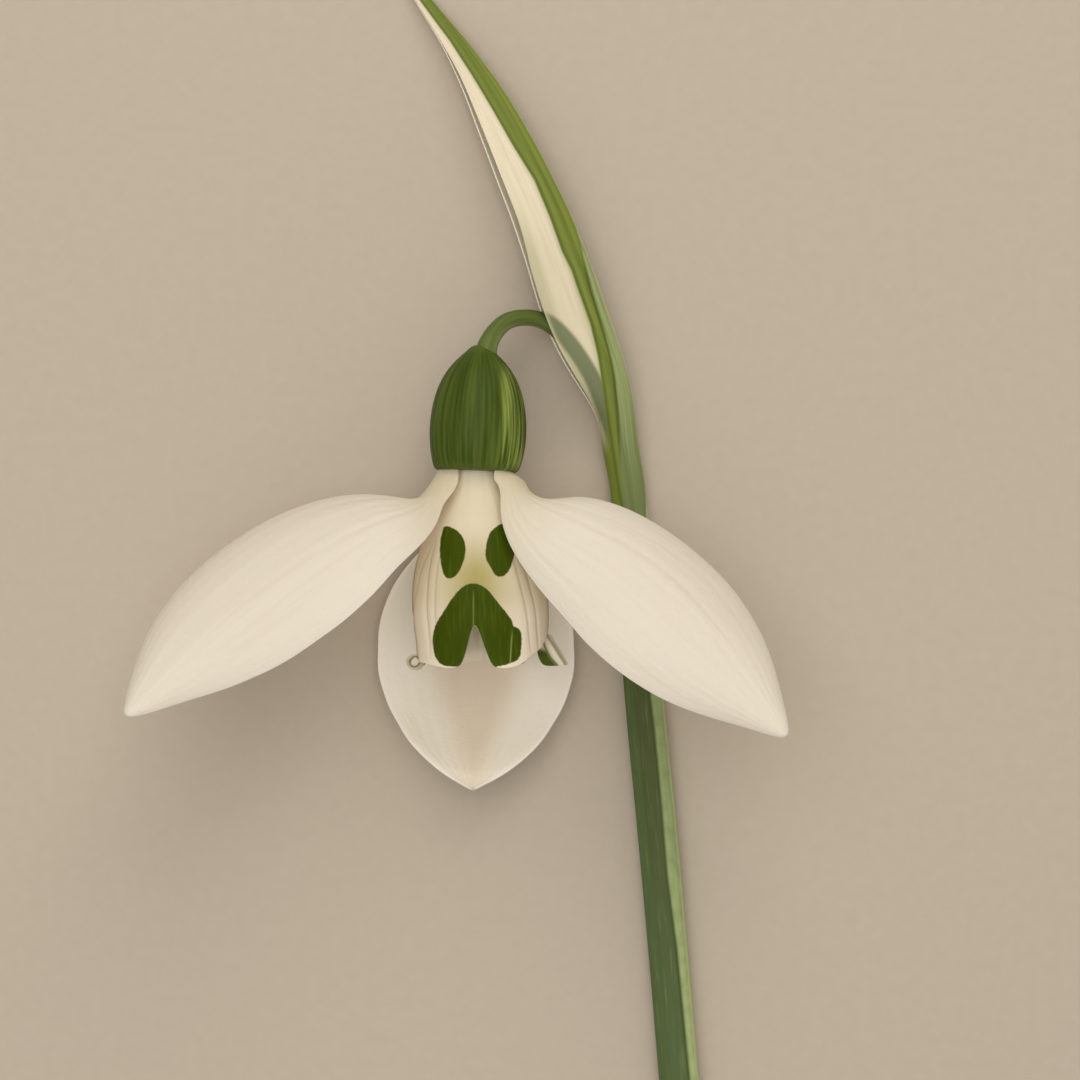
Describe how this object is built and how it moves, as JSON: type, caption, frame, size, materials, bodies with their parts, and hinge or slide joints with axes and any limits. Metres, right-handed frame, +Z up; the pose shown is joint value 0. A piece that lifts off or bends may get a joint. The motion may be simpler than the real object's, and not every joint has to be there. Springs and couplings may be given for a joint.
{
  "type": "snowdrop flower",
  "caption": "Cut snowdrop lying on its side: leafless stem, curved spathe, arched flower stalk, green ovary, spread white outer petals and a green-marked bell.",
  "frame": {"origin": "centre of the flower's bounding box at the height of the surface that it lies on", "axes": "+Y from the cut end of the stem towards the spathe's tip, +X across the spread petals, +Z up from the surface"},
  "size_m": [0.0436, 0.0922, 0.0152],
  "materials": {
    "scape_green": "satin, with a waxy bloom",
    "spathe_sheath": "papery membrane between green keels",
    "pedicel_green": "satin",
    "ovary_green": "satin, finely streaked",
    "outer_petal_white": "satin, finely veined",
    "inner_petal_marked": "satin, white with green marks",
    "anther_yellow": "matte",
    "style_pale": "satin"
  },
  "bodies": {
    "root": {"scape": "scape_green", "spathe": "spathe_sheath", "pedicel": "pedicel_green", "ovary": "ovary_green", "outer_petal_left": "outer_petal_white", "outer_petal_right": "outer_petal_white", "outer_petal_back": "outer_petal_white", "inner_petal_front": "inner_petal_marked", "inner_petal_left": "inner_petal_marked", "inner_petal_right": "inner_petal_marked", "stamen_1": "anther_yellow", "stamen_2": "anther_yellow", "stamen_3": "anther_yellow", "stamen_4": "anther_yellow", "stamen_5": "anther_yellow", "stamen_6": "anther_yellow", "style": "style_pale"}
  },
  "joints": []
}
